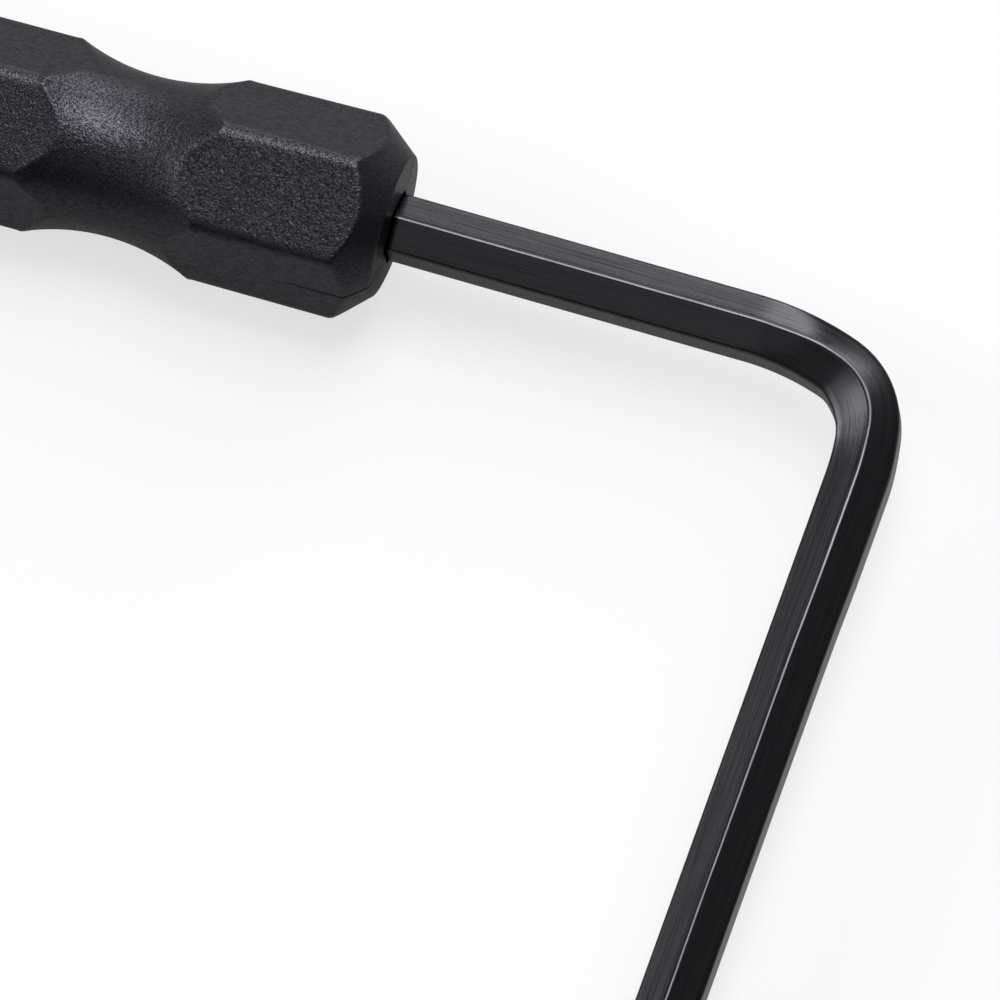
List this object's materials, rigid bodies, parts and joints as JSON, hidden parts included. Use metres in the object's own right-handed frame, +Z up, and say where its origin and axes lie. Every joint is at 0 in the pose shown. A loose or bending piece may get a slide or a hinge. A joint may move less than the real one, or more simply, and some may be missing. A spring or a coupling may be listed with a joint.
{
  "type": "truss rod wrench",
  "caption": "L-shaped truss rod wrench: a bent hexagonal steel shank whose short arm is moulded into a waisted, flat-sided plastic handle.",
  "frame": {"origin": "under the middle of the wrench's box, on the surface that it lies on", "axes": "+Z up from that surface; the handle points to -X and the free arm to -Y, and the L lies nearly flat"},
  "size_m": [0.1404, 0.138, 0.0166],
  "materials": {
    "shank_steel": "drawn steel with a satin black oxide",
    "handle_plastic": "black moulded plastic, every other flat finely grained"
  },
  "bodies": {
    "root": {"hex_rod": "shank_steel", "handle": "handle_plastic"}
  },
  "joints": []
}
